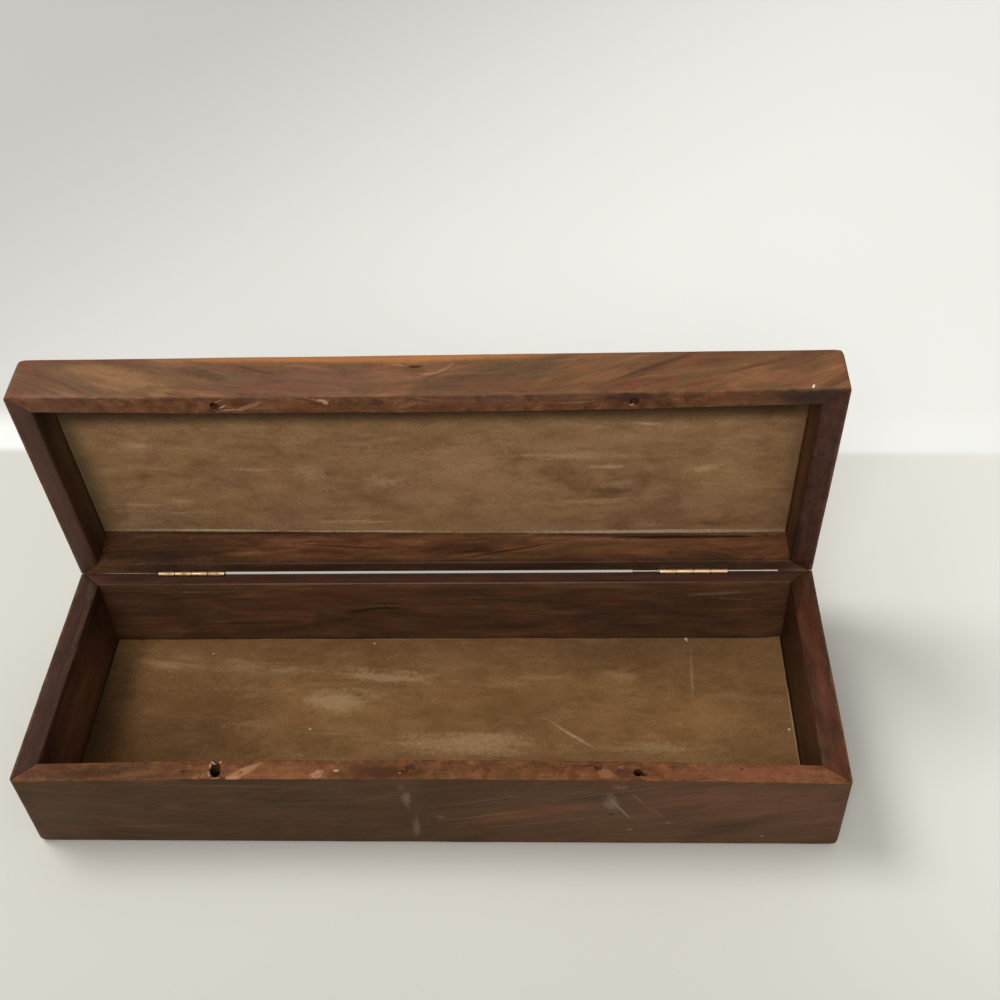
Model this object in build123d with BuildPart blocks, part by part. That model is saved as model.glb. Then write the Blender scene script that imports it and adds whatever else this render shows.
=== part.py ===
from build123d import *
from dataclasses import dataclass
from math import cos, radians, sin, tan
import os

# A long, low wooden box for dominoes, with its hinged lid open. Millimetres.
# x runs along the box from left to right, y from front to back, z up.
# The origin is the middle of the underside.

# Box and lid, each a tray of four mitred boards round a panel
length = 220.0
depth = 74.8
base_height = 29.9
lid_height = 15.4
front_wall = 5.4
back_wall = 5.5
left_wall = 6.5
right_wall = 7.1
corner_round = 1.1
panel_edge_round = 1.2
rim_edge_round = 0.4

# Bottom and top panels, let into a rabbet in the boards, and the suede linings on them
panel_thickness = 4.0
rabbet_width = 2.2
panel_clearance = 0.1
lining_thickness = 0.9
lining_clearance = 0.4

# Blind holes for locating pegs in the front rims, measured from each end of the box
peg_inset = 55.2
peg_hole_radius = 1.15
peg_hole_depth = 5.0

# How far the lid stands open, and the gap between the rims when it is shut
open_angle = 86.0
rim_gap = 0.2

# Bevelled rear edges: the open lid rests on a land at each end, and light shows between the lands
land_length = 10.0
land_gap = 0.06
rear_gap = 0.55

# Hinges: a rolled brass leaf on each rear face, with the barrels sunk between the rear edges
left_hinge_inset = 34.2
right_hinge_inset = 35.1
hinge_length = 20.2
knuckle_count = 4
knuckle_gap = 0.25
leaf_thickness = 0.5
leaf_width = 8.0
leaf_notch_clearance = 0.25
pin_radius = 0.55
pin_clearance = 0.05
pin_end_chamfer = 0.15
mortise_clearance = 0.2

# Round-head nails, two in each leaf
nail_spacing = 11.0
nail_drop = 4.9
nail_radius = 0.6
nail_clearance = 0.05
nail_length = 4.2
nail_tip = 0.45
nail_head_radius = 1.15
nail_head_height = 0.6
nail_head_round = 0.45

# Places that follow from the sizes above
closed_height = base_height + rim_gap + lid_height
cavity_length = length - left_wall - right_wall
cavity_depth = depth - front_wall - back_wall
cavity_centre = ((left_wall - right_wall) / 2, (front_wall - back_wall) / 2)
peg_places = [(side * (length / 2 - peg_inset), (front_wall - depth) / 2) for side in (-1, 1)]
bore_radius = pin_radius + pin_clearance
barrel_radius = bore_radius + leaf_thickness
hinge_y = depth / 2 - barrel_radius
hinge_z = base_height + rim_gap / 2
hinge_line = Axis((0, hinge_y, hinge_z), (1, 0, 0))
hinges = {
    "left_hinge": left_hinge_inset - length / 2,
    "right_hinge": length / 2 - right_hinge_inset,
}
rear_face = Plane.XZ.offset(-depth / 2)
knuckle_pitch = hinge_length / knuckle_count
knuckle_length = knuckle_pitch - knuckle_gap


@dataclass
class Tray:
    """One half of the box. away is the way from its rim to its panel: -1 is down, 1 is up."""

    name: str
    panel: str
    panel_level: float
    rim_level: float
    away: int
    first_knuckle: int
    turn: float


base = Tray("base", "bottom_panel", 0.0, base_height, -1, 0, 0.0)
lid = Tray("lid", "top_panel", closed_height, base_height + rim_gap, 1, 1, -open_angle)


def write_piece(piece, name):
    """Label a finished piece and write its file."""
    piece.part.label = name
    export_step(piece.part, f"parts/{name}.step")


def turned(piece, tray):
    """A piece made with the box shut, turned about the hinge line to where it stands when open."""
    return piece.part.rotate(hinge_line, tray.turn)


def bevel_outline(tray, gap):
    """What comes off a rear edge, as y and z, so that the open trays' bevels lie gap apart."""
    slope = radians(open_angle / 2)
    start = hinge_y + (rim_gap * cos(slope) - gap) / (2 * sin(slope))
    end = start + 2 * barrel_radius
    drop = tray.away * (end - start) * tan(slope)
    return [(start, tray.rim_level), (end, tray.rim_level), (end, tray.rim_level + drop)]


def nail_places(tray, hinge_x):
    """The nails of one leaf, as x and z on the rear face."""
    return [(hinge_x + side * nail_spacing / 2, hinge_z + tray.away * nail_drop) for side in (-1, 1)]


def make_ring(tray):
    """The four boards of a tray as one ring, with its rabbet, bevels, mortises and holes cut."""
    away = Axis((0, 0, 0), (0, 0, tray.away))
    height = tray.panel_level - tray.rim_level
    with BuildPart() as ring:
        with BuildSketch(Plane.XY.offset(tray.rim_level)):
            Rectangle(length, depth)
        extrude(amount=height)
        fillet(ring.edges().filter_by(Axis.Z), corner_round)
        fillet(ring.faces().sort_by(away)[-1].edges(), panel_edge_round)
        fillet(ring.faces().sort_by(away)[0].edges(), rim_edge_round)

        # The hollow, and the rabbet that the panel sits in
        with BuildSketch(Plane.XY.offset(tray.rim_level)):
            with Locations(cavity_centre):
                Rectangle(cavity_length, cavity_depth)
        extrude(amount=height, mode=Mode.SUBTRACT)
        with BuildSketch(Plane.XY.offset(tray.panel_level)):
            with Locations(cavity_centre):
                Rectangle(cavity_length + 2 * rabbet_width, cavity_depth + 2 * rabbet_width)
        extrude(amount=-tray.away * panel_thickness, mode=Mode.SUBTRACT)

        # The rear bevel, deeper between the lands at the two ends
        for span, gap in ((length, land_gap), (length - 2 * land_length, rear_gap)):
            with BuildSketch(Plane.YZ.offset(-span / 2)):
                Polygon(*bevel_outline(tray, gap))
            extrude(amount=span, mode=Mode.SUBTRACT)

        # At each hinge a round mortise for the barrel, a shallow one for the leaf, and nail holes
        for hinge_x in hinges.values():
            mortise_length = hinge_length + 2 * mortise_clearance
            mortise_width = leaf_width + mortise_clearance
            with BuildSketch(Plane.YZ.offset(hinge_x - mortise_length / 2)):
                with Locations((hinge_y, hinge_z)):
                    Circle(barrel_radius + mortise_clearance)
                with Locations((depth / 2, hinge_z + tray.away * mortise_width / 2)):
                    Rectangle(2 * leaf_thickness, mortise_width)
            extrude(amount=mortise_length, mode=Mode.SUBTRACT)
            with BuildSketch(rear_face):
                with Locations(*nail_places(tray, hinge_x)):
                    Circle(nail_radius + nail_clearance)
            extrude(amount=nail_length + nail_clearance, mode=Mode.SUBTRACT)

        # The peg holes in the front rim
        with BuildSketch(Plane.XY.offset(tray.rim_level)):
            with Locations(*peg_places):
                Circle(peg_hole_radius)
        extrude(amount=tray.away * peg_hole_depth, mode=Mode.SUBTRACT)
    return ring


def mitre_ends(side_x, side_y):
    """The mitre line at one corner, run on past the outer corner and past the inner one."""
    outer = Vector(side_x * length / 2, side_y * depth / 2)
    inner = Vector(*cavity_centre) + Vector(side_x * cavity_length / 2, side_y * cavity_depth / 2)
    return outer + (outer - inner), inner - (outer - inner)


def make_boards(tray):
    """Cut a tray's ring along its four mitres."""
    ring = make_ring(tray)
    corners = {"front": (-1, -1), "right_end": (1, -1), "back": (1, 1), "left_end": (-1, 1)}
    sides = list(corners)
    for side, next_side in zip(sides, sides[1:] + sides[:1]):
        first_outer, first_inner = mitre_ends(*corners[side])
        last_outer, last_inner = mitre_ends(*corners[next_side])
        with BuildPart() as board:
            add(ring.part)
            with BuildSketch(Plane.XY):
                Polygon(first_outer, last_outer, last_inner, first_inner)
            extrude(amount=closed_height, mode=Mode.INTERSECT)
            add(turned(board, tray), mode=Mode.REPLACE)
        write_piece(board, f"{tray.name}_{side}")


def make_panel(tray):
    """The thin panel that closes a tray, flush with its boards."""
    with BuildPart() as panel:
        with BuildSketch(Plane.XY.offset(tray.panel_level)):
            with Locations(cavity_centre):
                lap = rabbet_width - panel_clearance
                Rectangle(cavity_length + 2 * lap, cavity_depth + 2 * lap)
        extrude(amount=-tray.away * panel_thickness)
        add(turned(panel, tray), mode=Mode.REPLACE)
    write_piece(panel, f"{tray.name}_{tray.panel}")


def make_lining(tray):
    """The suede sheet glued on the panel inside a tray."""
    with BuildPart() as lining:
        with BuildSketch(Plane.XY.offset(tray.panel_level - tray.away * panel_thickness)):
            with Locations(cavity_centre):
                Rectangle(cavity_length - 2 * lining_clearance, cavity_depth - 2 * lining_clearance)
        extrude(amount=-tray.away * lining_thickness)
        add(turned(lining, tray), mode=Mode.REPLACE)
    write_piece(lining, f"{tray.name}_lining")


def make_leaf(tray, hinge, hinge_x):
    """A hinge leaf with every second knuckle rolled round the pin."""
    notch = barrel_radius + leaf_notch_clearance
    knuckles = [
        hinge_x - hinge_length / 2 + (place + 0.5) * knuckle_pitch
        for place in range(tray.first_knuckle, knuckle_count, 2)
    ]
    with BuildPart() as leaf:
        with BuildSketch(rear_face):
            with Locations((hinge_x, hinge_z + tray.away * (notch + leaf_width) / 2)):
                Rectangle(hinge_length, leaf_width - notch)
            with Locations(*[(knuckle_x, hinge_z + tray.away * notch / 2) for knuckle_x in knuckles]):
                Rectangle(knuckle_length, notch)
            with Locations(*nail_places(tray, hinge_x)):
                Circle(nail_radius + nail_clearance, mode=Mode.SUBTRACT)
        extrude(amount=leaf_thickness)
        for knuckle_x in knuckles:
            with BuildSketch(Plane.YZ.offset(knuckle_x - knuckle_length / 2)):
                with Locations((hinge_y, hinge_z)):
                    Circle(barrel_radius)
                    Circle(bore_radius, mode=Mode.SUBTRACT)
            extrude(amount=knuckle_length)
        add(turned(leaf, tray), mode=Mode.REPLACE)
    write_piece(leaf, f"{hinge}_{tray.name}_leaf")


def make_nails(tray, hinge, hinge_x):
    """The round-head nails that hold one leaf to its board."""
    places = nail_places(tray, hinge_x)
    with BuildPart() as nails:
        with BuildSketch(rear_face):
            with Locations(*places):
                Circle(nail_radius)
        extrude(amount=nail_length)
        chamfer(nails.faces().group_by(Axis.Y)[0].edges(), nail_tip)
        with BuildSketch(rear_face):
            with Locations(*places):
                Circle(nail_head_radius)
        extrude(amount=-nail_head_height)
        fillet(nails.faces().group_by(Axis.Y)[-1].edges(), nail_head_round)
        add(turned(nails, tray), mode=Mode.REPLACE)
    write_piece(nails, f"{hinge}_{tray.name}_nails")


def make_pin(hinge, hinge_x):
    """The pin through a hinge's knuckles."""
    with BuildPart() as pin:
        with BuildSketch(Plane.YZ.offset(hinge_x - hinge_length / 2)):
            with Locations((hinge_y, hinge_z)):
                Circle(pin_radius)
        extrude(amount=hinge_length)
        chamfer(pin.edges().filter_by(GeomType.CIRCLE), pin_end_chamfer)
    write_piece(pin, f"{hinge}_pin")


os.makedirs("parts", exist_ok=True)
for tray in (base, lid):
    make_boards(tray)
    make_panel(tray)
    make_lining(tray)
    for hinge, hinge_x in hinges.items():
        make_leaf(tray, hinge, hinge_x)
        make_nails(tray, hinge, hinge_x)
for hinge, hinge_x in hinges.items():
    make_pin(hinge, hinge_x)
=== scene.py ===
from math import radians, tan

import bmesh
import bpy
from mathutils import Matrix, Vector, noise


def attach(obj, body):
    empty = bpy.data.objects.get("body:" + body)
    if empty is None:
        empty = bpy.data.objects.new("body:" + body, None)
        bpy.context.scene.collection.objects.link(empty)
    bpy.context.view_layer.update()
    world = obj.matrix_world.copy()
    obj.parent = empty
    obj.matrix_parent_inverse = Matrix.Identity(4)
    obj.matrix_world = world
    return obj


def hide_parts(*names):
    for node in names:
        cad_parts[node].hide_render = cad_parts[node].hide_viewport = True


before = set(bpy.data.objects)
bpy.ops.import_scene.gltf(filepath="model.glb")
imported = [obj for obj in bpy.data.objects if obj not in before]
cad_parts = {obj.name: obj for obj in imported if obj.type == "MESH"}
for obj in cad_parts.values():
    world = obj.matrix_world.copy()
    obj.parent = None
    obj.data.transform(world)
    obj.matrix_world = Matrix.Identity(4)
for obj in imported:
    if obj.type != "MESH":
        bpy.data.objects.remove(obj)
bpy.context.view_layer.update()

MM = 0.001
TINY = 1e-6


# Camera and stage. A camera held above the front edge and a little to the right of the box,
# a pale paper floor that curves up behind, with painted light brighter to the right and along the
# fold and painted shade at the back left, and soft light from the upper left.
bpy.ops.object.camera_add(
    location=(36.30 * MM, -225.23 * MM, 314.69 * MM),
    rotation=(radians(45.7801), radians(2.2426), radians(1.6803)),
)
camera = bpy.context.object
camera.data.sensor_width = 36
camera.data.lens = 46.53
bpy.context.scene.camera = camera
bpy.context.scene.view_settings.view_transform = "Standard"


def colour(code):
    """A colour as Blender's linear red, green, blue and alpha, from its usual six-digit code."""
    shares = [int(code[start:start + 2], 16) / 255 for start in (0, 2, 4)]
    return (*[s / 12.92 if s <= 0.04045 else ((s + 0.055) / 1.055) ** 2.4 for s in shares], 1)


def set_inputs(tree, node, inputs):
    """Link each of a node's inputs to a socket, or set it to a value or to a colour by its code."""
    for name, value in inputs.items():
        if isinstance(value, bpy.types.NodeSocket):
            tree.links.new(value, node.inputs[name])
        else:
            node.inputs[name].default_value = colour(value) if isinstance(value, str) else value


def add_node(tree, kind, inputs, **settings):
    """Add a node with its settings and its inputs."""
    node = tree.nodes.new(kind)
    for name, value in settings.items():
        setattr(node, name, value)
    set_inputs(tree, node, inputs)
    return node


def add_noise(tree, place, **inputs):
    """The value of a noise texture at a place."""
    return add_node(tree, "ShaderNodeTexNoise", {"Vector": place, **inputs}).outputs["Fac"]


def split(tree, place):
    """A place's X, Y and Z."""
    return add_node(tree, "ShaderNodeSeparateXYZ", {"Vector": place}).outputs


def add_bump(tree, shader, height, distance, strength):
    """Give a shader a fine relief from a height value."""
    bump = add_node(tree, "ShaderNodeBump", {"Height": height, "Distance": distance, "Strength": strength})
    tree.links.new(bump.outputs["Normal"], shader.inputs["Normal"])


def add_material(name, shut=None):
    """A new material with its tree, its Principled BSDF and its place in millimetres.

    For a piece of the open lid, shut turns the place back to where it is with the box closed.
    """
    material = bpy.data.materials.new(name)
    material.use_nodes = True
    tree = material.node_tree
    coordinates = tree.nodes.new("ShaderNodeTexCoord").outputs["Object"]
    mapping = add_node(tree, "ShaderNodeMapping", {"Vector": coordinates, "Scale": (1 / MM,) * 3})
    if shut:
        set_inputs(tree, mapping, {"Rotation": shut.to_euler(), "Location": shut.translation / MM})
    return material, tree, tree.nodes["Principled BSDF"], mapping.outputs["Vector"]


def remap(tree, value, low, high, to_low=0.0, to_high=1.0, smooth=True):
    """A value's range from low to high, spread over another range."""
    return add_node(
        tree, "ShaderNodeMapRange",
        {"Value": value, "From Min": low, "From Max": high, "To Min": to_low, "To Max": to_high},
        interpolation_type="SMOOTHSTEP" if smooth else "LINEAR",
    ).outputs["Result"]


def blend_colours(tree, share, first, second, way="MIX"):
    """Two colours mixed by a share."""
    inputs = {0: share, 6: first, 7: second}
    return add_node(tree, "ShaderNodeMix", inputs, data_type="RGBA", blend_type=way).outputs[2]


def work_out(tree, operation, first, second=0.0, third=0.0):
    """The result of a sum on values."""
    inputs = {0: first, 1: second, 2: third}
    return add_node(tree, "ShaderNodeMath", inputs, operation=operation).outputs[0]


paper, tree, shader, place = add_material("paper_floor")
apart = split(tree, place)
cloud = add_noise(tree, place, Scale=0.006, Detail=2)
fold_place = work_out(tree, "MULTIPLY_ADD", apart["X"], 0.02, apart["Y"])
near = blend_colours(tree, cloud, "D2CFC5", "DAD7CE")
# Painted light: the near paper grows brighter to the right
near = blend_colours(tree, remap(tree, apart["X"], 40, 260), near, "F0EEE7")
# Darker towards the front
near = blend_colours(tree, remap(tree, apart["Y"], -30, -140, 0, 0.5), near, "BFBDB4")
behind = remap(tree, fold_place, 122, 128)
# Painted highlight along the fold, where the paper curves up
fold_highlight = work_out(
    tree, "MULTIPLY", remap(tree, fold_place, 121, 126), remap(tree, fold_place, 150, 134))
# Painted shade: the paper behind is darker to the left and lighter to the right
across = work_out(tree, "MULTIPLY_ADD", apart["Y"], -0.55, apart["X"])
far_paper_and_shade = blend_colours(tree, remap(tree, across, -480, 20), "C2C1BC", "F4F3EE")
floor_colour = blend_colours(tree, behind, near, far_paper_and_shade)
floor_colour = blend_colours(tree, fold_highlight, floor_colour, "F6F6F2")
set_inputs(tree, shader, {"Base Color": floor_colour, "Roughness": 0.8})
add_bump(tree, shader, add_noise(tree, place, Scale=0.8, Detail=3), distance=0.0001, strength=0.3)

bpy.ops.object.select_all(action="DESELECT")
bpy.ops.mesh.primitive_plane_add(size=8)
floor = bpy.context.object
floor.name = "floor"
floor.data.materials.append(paper)

world = bpy.data.worlds.new("room")
bpy.context.scene.world = world
world.use_nodes = True
tree = world.node_tree
set_inputs(tree, tree.nodes["Background"], {"Color": "F1F0ED", "Strength": 0.5})

for name, spot, size, watts in (
    ("window", Vector((-1.2, 0.5, 2.1)), 1.1, 28.0),
    ("room", Vector((-0.4, -2.2, 1.9)), 1.5, 34.0),
):
    aim = (-spot).to_track_quat("-Z", "Y").to_euler()
    bpy.ops.object.light_add(type="AREA", location=spot, rotation=aim)
    light = bpy.context.object
    light.name = name
    light.data.shape = "DISK"
    light.data.size = size
    light.data.energy = watts


# The four boards of the base: dark rosewood, mitred and glued at the corners, rounded outside,
# rebated for the bottom panel, bevelled along the rear edge and cut out there for the hinges.
LENGTH = 220 * MM
DEPTH = 74.8 * MM
BASE_HEIGHT = 29.9 * MM
FRONT_WALL = 5.4 * MM
BACK_WALL = 5.5 * MM
LEFT_WALL = 6.5 * MM
RIGHT_WALL = 7.1 * MM
CAVITY_LOW = Vector((LEFT_WALL - LENGTH / 2, FRONT_WALL - DEPTH / 2, 0))
CAVITY_HIGH = Vector((LENGTH / 2 - RIGHT_WALL, DEPTH / 2 - BACK_WALL, 0))
PANEL_THICKNESS = 4 * MM
REBATE = 2.2 * MM
HINGE_Y = 36.3 * MM
HINGE_Z = 30.0 * MM
HINGES = {"left_hinge": -75.8 * MM, "right_hinge": 74.9 * MM}
HINGE_LENGTH = 20.2 * MM
LEAF_THICKNESS = 0.5 * MM
LEAF_WIDTH = 8.0 * MM
BARREL_RADIUS = 1.1 * MM
HINGE_CLEARANCE = 0.2 * MM
MORTISE_LAP = 0.3 * MM
PEG_HOLE_DEPTH = 5 * MM
MOUTH_RAGGED = 0.35
BORE_RAGGED = 0.05
PANEL_EDGE_ROUND = 1.2 * MM
CORNER_ROUND = 1.1 * MM
RIM_ROUND = 0.4 * MM
HOLLOW_ROUND = 0.3 * MM
MITRE_GAP = 0.02 * MM
MITRE_BEVEL = 0.04 * MM
BEVEL_SLOPE = 43

# Where the rear bevels run from and to, and how far back each starts at the rim
REAR_BEVELS = (
    (-LENGTH, LENGTH, 36.363 * MM),
    (-86 * MM, 57 * MM, 35.82 * MM),
    (56 * MM, 100 * MM, 36.12 * MM),
)
X, Y, Z = range(3)


def put_down():
    """Leave edit mode and deselect everything."""
    if bpy.context.object and bpy.context.object.mode == "EDIT":
        bpy.ops.object.mode_set(mode="OBJECT")
    bpy.ops.object.select_all(action="DESELECT")


def choose(piece, kind="FACE", test=None):
    """Open a piece in edit mode with all of it selected, or only the parts that pass a test."""
    put_down()
    piece.select_set(True)
    bpy.context.view_layer.objects.active = piece
    bpy.ops.object.mode_set(mode="EDIT")
    bpy.ops.mesh.select_mode(type=kind)
    bpy.ops.mesh.select_all(action="DESELECT" if test else "SELECT")
    if test:
        mesh = bmesh.from_edit_mesh(piece.data)
        for part in {"VERT": mesh.verts, "EDGE": mesh.edges, "FACE": mesh.faces}[kind]:
            if test(part):
                part.select_set(True)
        mesh.select_flush_mode()
        bmesh.update_edit_mesh(piece.data)


def make_block(name, low, high):
    """A block between two corners."""
    put_down()
    low, high = Vector(low), Vector(high)
    bpy.ops.mesh.primitive_cube_add(size=1, location=(low + high) / 2, scale=high - low)
    bpy.ops.object.transform_apply()
    bpy.context.object.name = bpy.context.object.data.name = name
    return bpy.context.object


def cut_out(piece, cutter):
    """Take a cutter's shape out of a piece and clear the cutter away."""
    put_down()
    piece.select_set(True)
    bpy.context.view_layer.objects.active = piece
    cut = piece.modifiers.new("cut", "BOOLEAN")
    cut.operation = "DIFFERENCE"
    cut.solver = "EXACT"
    cut.object = cutter
    bpy.ops.object.modifier_apply(modifier="cut")
    bpy.data.objects.remove(cutter)


def make_ring(name, panel_z, rim_z, peg_holes):
    """The four boards of one tray while they are still one ring, with the box shut."""
    away = 1 if panel_z > rim_z else -1
    low, high = sorted((panel_z, rim_z))
    ring = make_block(name, (-LENGTH / 2, -DEPTH / 2, low), (LENGTH / 2, DEPTH / 2, high))

    # Round the edges beside the panel, the corners, and the rim
    choose(ring, "EDGE", lambda edge: all(abs(v.co.z - panel_z) < TINY for v in edge.verts))
    bpy.ops.mesh.bevel(offset=PANEL_EDGE_ROUND, segments=5)
    choose(ring, "EDGE", lambda edge: abs(edge.verts[0].co.z - edge.verts[1].co.z) > TINY)
    bpy.ops.mesh.bevel(offset=CORNER_ROUND, segments=4)
    choose(ring, "EDGE", lambda edge: all(abs(v.co.z - rim_z) < TINY for v in edge.verts))
    bpy.ops.mesh.bevel(offset=RIM_ROUND, segments=3)

    # Hollow it and rebate it for the panel
    up = Vector((0, 0, 50 * MM))
    cut_out(ring, make_block("cutter", CAVITY_LOW - up, CAVITY_HIGH + 2 * up))
    lap = Vector((REBATE, REBATE, 0))
    rebate_low, rebate_high = sorted((panel_z + away * MM, panel_z - away * PANEL_THICKNESS))
    cut_out(ring, make_block(
        "cutter",
        CAVITY_LOW - lap + Vector((0, 0, rebate_low)),
        CAVITY_HIGH + lap + Vector((0, 0, rebate_high)),
    ))
    choose(ring, "EDGE", lambda edge: all(
        abs(v.co.z - rim_z) < TINY
        and CAVITY_LOW.x - TINY < v.co.x < CAVITY_HIGH.x + TINY
        and CAVITY_LOW.y - TINY < v.co.y < CAVITY_HIGH.y + TINY
        for v in edge.verts
    ))
    bpy.ops.mesh.bevel(offset=HOLLOW_ROUND, segments=2)

    # Bevel the rear edge, more deeply between the lands at its two ends
    for left, right, start in REAR_BEVELS:
        cutter = make_block(
            "cutter",
            (left, start, rim_z - 3 * MM),
            (right, DEPTH / 2 + MM, rim_z + 3 * MM),
        )
        choose(cutter)
        slope = Vector((0, tan(radians(BEVEL_SLOPE)), -away))
        bpy.ops.mesh.bisect(plane_co=(0, start, rim_z), plane_no=-slope, use_fill=True, clear_outer=True)
        cut_out(ring, cutter)

    # A round mortise for each hinge's barrel and a shallow one for its leaf
    for hinge_x in HINGES.values():
        half = HINGE_LENGTH / 2 + HINGE_CLEARANCE
        put_down()
        bpy.ops.mesh.primitive_cylinder_add(
            vertices=32, radius=BARREL_RADIUS + HINGE_CLEARANCE, depth=2 * half,
            location=(hinge_x, HINGE_Y, HINGE_Z), rotation=(0, radians(90), 0),
        )
        cut_out(ring, bpy.context.object)
        leaf_low, leaf_high = sorted((HINGE_Z, HINGE_Z + away * (LEAF_WIDTH + HINGE_CLEARANCE)))
        cut_out(ring, make_block(
            "cutter",
            (hinge_x - half, DEPTH / 2 - LEAF_THICKNESS, leaf_low - MORTISE_LAP),
            (hinge_x + half, DEPTH / 2 + MM, leaf_high),
        ))

    # Ragged peg holes in the front rim
    for hole_x, hole_y, radius in peg_holes:
        put_down()
        bpy.ops.mesh.primitive_cylinder_add(
            vertices=24, radius=radius, depth=2 * PEG_HOLE_DEPTH, location=(hole_x, hole_y, rim_z))
        drill = bpy.context.object
        bpy.ops.object.transform_apply()
        for vertex in drill.data.vertices:
            out = vertex.co - Vector((hole_x, hole_y, vertex.co.z))
            torn = MOUTH_RAGGED if away * (vertex.co.z - rim_z) < 0 else BORE_RAGGED
            vertex.co += out * torn * noise.noise(vertex.co * 900)
        cut_out(ring, drill)
    return ring


def divide(piece, axis, low, high, gap):
    """Cut a piece's faces across every gap along an axis, so that they can be worn and bent."""
    choose(piece)
    count = round((high - low) / gap)
    for step in range(1, count):
        spot = Vector((0, 0, 0))
        spot[axis] = low + (high - low) * step / count
        normal = Vector((0, 0, 0))
        normal[axis] = 1
        bpy.ops.mesh.select_all(action="SELECT")
        bpy.ops.mesh.bisect(plane_co=spot, plane_no=normal)
    bpy.ops.object.mode_set(mode="OBJECT")


def copy_piece(piece, name):
    """A copy of a piece with its own mesh."""
    twin = piece.copy()
    twin.data = piece.data.copy()
    twin.name = twin.data.name = name
    bpy.context.scene.collection.objects.link(twin)
    return twin


def saw_board(ring, name, corners):
    """One board of a ring, cut at its two mitres with a hair of a joint line left open."""
    board = copy_piece(ring, name)
    middle = Vector((sum(x for x, y in corners) * LENGTH / 4, sum(y for x, y in corners) * DEPTH / 4, 0))
    choose(board)
    if middle.x == 0:
        bpy.ops.mesh.bisect(
            plane_co=(0, 0, 0), plane_no=(0, -middle.y, 0), use_fill=False, clear_outer=True)
    planes = []
    for side_x, side_y in corners:
        outer = Vector((side_x * LENGTH / 2, side_y * DEPTH / 2, 0))
        inner = Vector((
            CAVITY_HIGH.x if side_x > 0 else CAVITY_LOW.x,
            CAVITY_HIGH.y if side_y > 0 else CAVITY_LOW.y,
            0,
        ))
        normal = (inner - outer).cross(Vector((0, 0, 1))).normalized()
        if normal.dot(middle - outer) > 0:
            normal.negate()
        spot = outer - normal * MITRE_GAP
        planes.append((spot, normal))
        bpy.ops.mesh.select_all(action="SELECT")
        bpy.ops.mesh.bisect(plane_co=spot, plane_no=normal, use_fill=True, clear_outer=True)
    choose(board, "EDGE", lambda edge: any(
        all(abs((v.co - spot).dot(normal)) < TINY for v in edge.verts)
        for spot, normal in planes
    ))
    bpy.ops.mesh.bevel(offset=MITRE_BEVEL, segments=1)
    bpy.ops.object.mode_set(mode="OBJECT")
    return board


SIDES = {
    "front": ((-1, -1), (1, -1)),
    "back": ((-1, 1), (1, 1)),
    "left_end": ((-1, -1), (-1, 1)),
    "right_end": ((1, -1), (1, 1)),
}
FRONT_BOW = 1.15 * MM
INNER_BOW = 0.5 * MM
INNER_REACH = 0.5 * MM
EDGE_REACH = 1.2 * MM
EDGE_NICKS = 0.07 * MM
EDGE_WEAR = 0.08 * MM
FACE_WEAR = 0.02 * MM
CORNER_WEAR = 0.45 * MM
CORNER_REACH = 3 * MM
CORNER_START = 4 * MM

# How finely the boards are cut up to be worn: in length and depth, in height, at the chips, at the rim
BOARD_GRID = 1.25 * MM
HEIGHT_GRID = 2.2 * MM
CHIP_GRID = 0.5 * MM
RIM_GRID = 0.6 * MM


def wear_board(board, panel_z, rim_z, chips):
    """Bow the front board's free rim inwards, dull the edges unevenly, and break out the chips."""
    centre = Vector((0, 0, (panel_z + rim_z) / 2))
    half = Vector((LENGTH / 2, DEPTH / 2, abs(panel_z - rim_z) / 2))
    normals = [vertex.normal.copy() for vertex in board.data.vertices]
    for vertex, normal in zip(board.data.vertices, normals):
        spot = vertex.co.copy()
        push = FACE_WEAR * (1 + noise.noise(spot * 60))
        depths = sorted(h - abs(s - c) for s, c, h in zip(spot, centre, half))
        if depths[0] < TINY * 30 or depths[1] < EDGE_REACH:
            edge = max(0.0, 1 - max(0.0, depths[1]) / EDGE_REACH)
            push += edge * EDGE_NICKS * max(0.0, noise.noise(spot * 200) + 0.15)
            push += edge * EDGE_WEAR * (1 + noise.noise(spot * 60))
        if abs(spot.z - rim_z) > CORNER_START:
            push += CORNER_WEAR * max(0.0, 1 - depths[2] / CORNER_REACH) ** 2
        deepest = 0
        for x, y, half_length, reach, depth, *level in chips:
            off = spot - Vector((x, y, *(level or [rim_z / MM]))) * MM
            off.x = max(0.0, abs(off.x) - half_length * MM)
            far = off.length / (reach * MM)
            if far < 1:
                torn = 1 + 0.7 * noise.noise(spot * 350)
                deepest = max(deepest, depth * MM * (1 - far * far) * torn)
        vertex.co -= normal * (push + deepest)
        if spot.y < 0:
            free = (spot.z - panel_z) / (rim_z - panel_z)
            middle = 1 - (spot.x / (LENGTH / 2)) ** 2
            vertex.co.y += FRONT_BOW * free * middle
            if spot.y > CAVITY_LOW.y - INNER_REACH:
                vertex.co.y += INNER_BOW * free * free * middle * (1 + 0.6 * noise.noise(spot * 45))
    choose(board)
    bpy.ops.mesh.normals_make_consistent(inside=False)
    bpy.ops.object.mode_set(mode="OBJECT")
    bpy.ops.object.shade_smooth_by_angle(angle=radians(35))


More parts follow.
